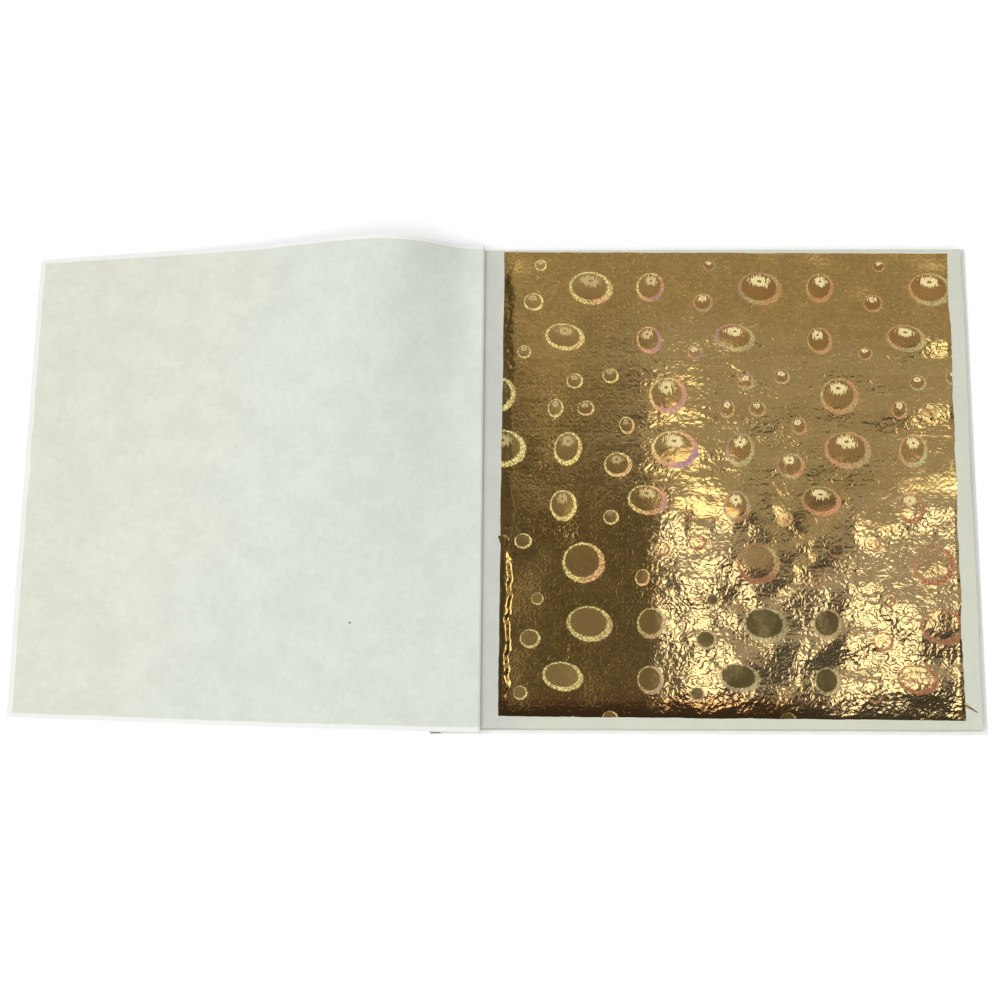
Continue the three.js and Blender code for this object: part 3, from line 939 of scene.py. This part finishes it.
def edgeHeights(x, y):
    # the strip rises evenly to its wandering side and eases down beyond, less its crumple. The roll is a
    # parabola across its width
    def stray(key, seed):
        return wander(y, y * 0, edge[key], seed)

    def crumpled(look, size, seed):
        amount, across, along = look
        return 1 - amount * (1 - ridges(x * across, y * along, size, seed))

    side = edge["width"] * (edge["level"] + stray("noise", 66) + stray("fineNoise", 67))
    crumple = crumpled(edge["crumple"], edge["crumpleSize"], 68)
    smooth = fades(edge, smooth=x - side)
    strip = edge["height"] * np.clip(x / side, 0, 1) * smoothStep(side + edge["slope"], side, x)
    strip = strip * (crumple + (1 - crumple) * smooth) * fades(edge, ends=-y, begins=-y)
    middle = edge["rollAt"] + stray("rollNoise", 71) + stray("fineRollNoise", 72)
    wide = edge["rollWidth"] * (1 + stray("rollWidthNoise", 73))
    roll = edge["rollRise"] * np.clip(1 - ((x - middle) / wide) ** 2, 0, 1)
    roll = roll * fades(edge, rollBegins=-y, rollEnds=-y)
    return strip + roll * crumpled(edge["rollCrumple"], edge["rollCrumpleSize"], 69)


def firstLeafHeights(x, y):
    # creases, bands of ridges and waves, a slow swell, the edge by the fold, a curl at the foot, and domes,
    # all fading out at the leaf's border
    dome, disc = dropHeights(x, y)
    creased = relief["crease"] * ridges(x, y, relief["creaseSize"], 62)
    creased = creased + relief["fineCrease"] * ridges(x, y, relief["fineSize"], 70)
    creased = creased * liveliness(x, y) * (1 - relief["discCalm"] * disc)
    bent = 2 * np.pi * (y + wander(x, y, relief["waveNoise"], 83)) / relief["waveLength"]
    banded = relief["band"] * ridges(x * relief["bandStretch"], y, relief["bandSize"], 80)
    banded = (banded + relief["wave"] * np.sin(bent)) * fades(relief, bandRight=x, bandDown=-y, bandEnd=-y)
    swell = relief["swell"] * (0.5 + 0.5 * lattice(x, y, relief["swellSize"], 64))
    swell = swell * fades(relief, swellRight=x, swellDown=-y)
    above, fold = y + leaf["height"], relief["footFold"]
    curl = relief["footRise"] * (1 - np.clip(1 - above / fold, 0, 1) ** 2)
    curl = curl * smoothStep(fold + relief["footSlope"], fold, above) * fades(relief, footRight=x)
    inward = np.minimum(np.minimum(x, leaf["width"] - x), np.minimum(-y, above))
    fade = smoothStep(0, relief["edgeFade"], inward)
    return fade * (creased + banded + swell + edgeHeights(x, y) + curl + dome)


def pressWhenShut(made):
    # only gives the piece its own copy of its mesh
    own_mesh(made)


def makeLeaf(number):
    # flat between the node's levels and lifted, turned by its skew about the leaf's centre
    node = f"gold_leaf_{number:02d}"
    first = number == 1
    columns, rows = (leaf["firstColumns"], leaf["firstRows"]) if first else (leaf["columns"], leaf["rows"])
    x, y = leafOutline(columns, rows, number)
    skew = np.radians(leaf["skew"] * np.cos(np.radians((number - 1) * leaf["skewStep"])))
    localX, localY = x - leaf["width"] / 2, y + leaf["height"] / 2
    worldX = leaf["centre"][0] + localX * np.cos(skew) - localY * np.sin(skew)
    worldY = leaf["centre"][1] + localX * np.sin(skew) + localY * np.cos(skew)
    lift = stackLift(worldX, worldY, high(f"tissue_{number + 1:02d}")[2])
    lower, upper = sheetLayers(node, worldX, worldY, lift)
    if first:
        upper[..., 2] += firstLeafHeights(x, y)
    step = leaf["firstStep"] if first else 1
    material = firstFoil if first else stackFoil
    made = putSlab(f"leaf_{number:02d}", lower[::step, ::step], upper, material)
    right, down = ((number - 1) * shift for shift in leaf["rollShift"])
    places = np.stack([x + right, y + down, liveliness(x, y)], -1)
    putValues(made, "leafPlace", "FLOAT_VECTOR", "vector", places[::step, ::step], places)
    if first:
        broad = leaning(x, y)
        putValues(made, "leafLean", "FLOAT", "value", broad[::step, ::step], broad)
    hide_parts(node)
    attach(made, node)
    if first:
        pressWhenShut(made)


# Two loose shreds of the first leaf: a torn flap folded over its spine side, and a whisker at its foot
# corner. Each tapers from its root, given right of and below the leaf's head corner, and arches up
shreds = dict(
    flap=dict(root=(-0.2, -53.8), tip=(2.5, -52.9), width=2.2),
    whisker=dict(root=(79.6, -82.4), tip=(81.9, -83.9), width=0.45),
)
shred = dict(
    rise=0.12, base=0.02, columns=19, rows=9, taper=0.85, taperPower=1.4, raggedNoise=(0.2, 1),
    raggedLength=5, archFrom=0.15, archOver=0.8, droop=0.4,
)


def makeShred(name, look):
    outward, sideward = np.linspace(0, 1, shred["columns"]), np.linspace(-0.5, 0.5, shred["rows"])
    along, across = np.meshgrid(outward, sideward)
    root, tip = np.array(look["root"]), np.array(look["tip"])
    side = np.array([-(tip - root)[1], (tip - root)[0]]) / np.hypot(*(tip - root))
    ragged = wander(along * shred["raggedLength"], along * 0, shred["raggedNoise"], 91)
    width = look["width"] * (1 - shred["taper"] * along ** shred["taperPower"]) * (1 + ragged)
    flat = root + along[..., None] * (tip - root) + (across * width)[..., None] * side
    x, y = flat[..., 0], flat[..., 1]
    worldX = leaf["centre"][0] - leaf["width"] / 2 + x
    worldY = leaf["centre"][1] + leaf["height"] / 2 + y
    lift = stackLift(worldX, worldY, stackTop) + shred["base"]
    arch = np.sin(np.pi * (shred["archFrom"] + shred["archOver"] * along))
    lift = lift + shred["rise"] * arch * (1 - shred["droop"] * (2 * across) ** 2)
    lower, upper = sheetLayers("gold_leaf_01", worldX, worldY, lift)
    made = putSlab(f"leaf_{name}", lower, upper, firstFoil)
    places = np.stack([x, y, x * 0], -1)
    putValues(made, "leafPlace", "FLOAT_VECTOR", "vector", places, places)
    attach(made, "gold_leaf_01")
    pressWhenShut(made)


for name, look in shreds.items():
    makeShred(name, look)
for number in leafNumbers:
    makeLeaf(number)
print("leaves made")


# Pieces kept from the frame, in their own finishes
def finishNode(node, material):
    made = nodes[node]
    made.data.materials.clear()
    made.data.materials.append(material)


nodes = frame["nodes"]
finishNode("bound_margin", makeDressed("boundSheetEdges", margin, sheetLines))
finishNode("spine_glue", makeDressed("driedGlue", glue, glueClots))
drawnWire = makeDressed("drawnWire", wire, wireScratches)
for node in ("staple_head", "staple_foot"):
    finishNode(node, drawnWire)


# Floor, which shows white and keeps the booklet's soft shadow
floorLook = dict(size=8000, drop=0.02, colour=(0.9, 0.9, 0.9), lift=0.2)


def makeFloor():
    half = floorLook["size"] * mm / 2
    mesh = bpy.data.meshes.new("floor")
    corners = [(-half, -half), (half, -half), (half, half), (-half, half)]
    mesh.from_pydata([(x, y, -floorLook["drop"] * mm) for x, y in corners], [], [(0, 1, 2, 3)])
    made = putObject("floor", mesh)
    material, tree, shader = newMaterial("paleFloor")
    fill(tree, shader, {
        "Base Color": (*floorLook["colour"], 1), "Roughness": 1, "Specular IOR Level": 0,
        "Emission Color": (1, 1, 1, 1),
        "Emission Strength": product(tree, seenRays(tree), floorLook["lift"]),
    })
    mesh.materials.append(material)


makeFloor()


# Studio: a grey ceiling at the back with a window far behind, a soft box over the right, a dark side on the
# left, pale walls all round, and one wide soft lamp. Places are slopes from straight up, right and back.
# A patch is its level, its reach to the right, its reach to the back and the softness of its sides
studio = dict(
    dim=0.075, dark=0.05, darkBack=(0.14, 0.06), back=0.365, backAt=0.307, backSlant=0.65,
    slantRight=(-0.1, 0.08), backSoft=(0.055, 0.012), softRight=(0.0, 0.06), leftFade=(-0.30, -0.12),
    leastUp=0.02, horizon=(0.32, 0.27),
    patches=dict(
        box=(2.2, (0.05, 0.21), (0.15, 0.262), 0.022),
        strip=(0.3, (-0.1, 0.34), (0.46, 0.58), 0.02),
        slit=(0.25, (-0.08, -0.055), (0.08, 0.34), 0.008),
        window=(2.8, (-0.02, 0.34), (0.56, 0.9), 0.04),
        wall=(0.04, (-0.3, -0.004), (0.12, 0.35), 0.015),
    ),
    lamp=24, lampSize=1.8, lampPlace=(-0.35, -0.45, 1.0),
)


def makeStudio():
    # the ceiling begins at a line that slants to the right, and each patch adds its level times soft steps
    # at its four sides. Rays that see it near the horizon see white
    world = bpy.data.worlds.new("studio")
    bpy.context.scene.world = world
    world.use_nodes = True
    tree = world.node_tree
    way = axes(tree, addNode(tree, "TexCoord").outputs["Generated"])
    up = largest(tree, way["Z"], studio["leastUp"])
    right, back = (sums(tree, "DIVIDE", way[axis], up) for axis in ("X", "Y"))
    least, most = studio["slantRight"]
    along = addNode(tree, "Clamp", {"Value": right, "Min": least, "Max": most}).outputs[0]
    slanted = linear(tree, along, studio["backSlant"], back)
    soft = ramp(tree, right, *studio["softRight"], *studio["backSoft"])
    begins, ends = (sums(tree, sign, studio["backAt"], soft) for sign in ("SUBTRACT", "ADD"))
    ceiling = product(tree, ramp(tree, slanted, begins, ends), ramp(tree, right, *studio["leftFade"]))
    ground = ramp(tree, back, *studio["darkBack"], studio["dim"], studio["dark"])
    level = linear(tree, ceiling, studio["back"] - studio["dim"], ground)
    for light, ofRight, ofBack, soft in studio["patches"].values():
        for slope, (start, end) in ((right, ofRight), (back, ofBack)):
            light = product(tree, light, ramp(tree, slope, start - soft, start + soft),
                            ramp(tree, slope, end + soft, end - soft))
        level = sums(tree, "ADD", level, light)
    white = product(tree, seenRays(tree), ramp(tree, way["Z"], *studio["horizon"]))
    strength = linear(tree, level, sums(tree, "SUBTRACT", 1.0, white), white)
    fill(tree, tree.nodes["Background"], {"Color": (1, 1, 1, 1), "Strength": strength})
    lamp = bpy.data.lights.new("softLamp", "AREA")
    lamp.energy = studio["lamp"]
    lamp.size = studio["lampSize"]
    made = putObject("softLamp", lamp)
    made.location = studio["lampPlace"]
    made.rotation_euler = Vector(studio["lampPlace"]).to_track_quat("Z", "Y").to_euler()
    made.visible_glossy = False


makeStudio()
bpy.context.scene.view_settings.view_transform = "Standard"
print("stage made")
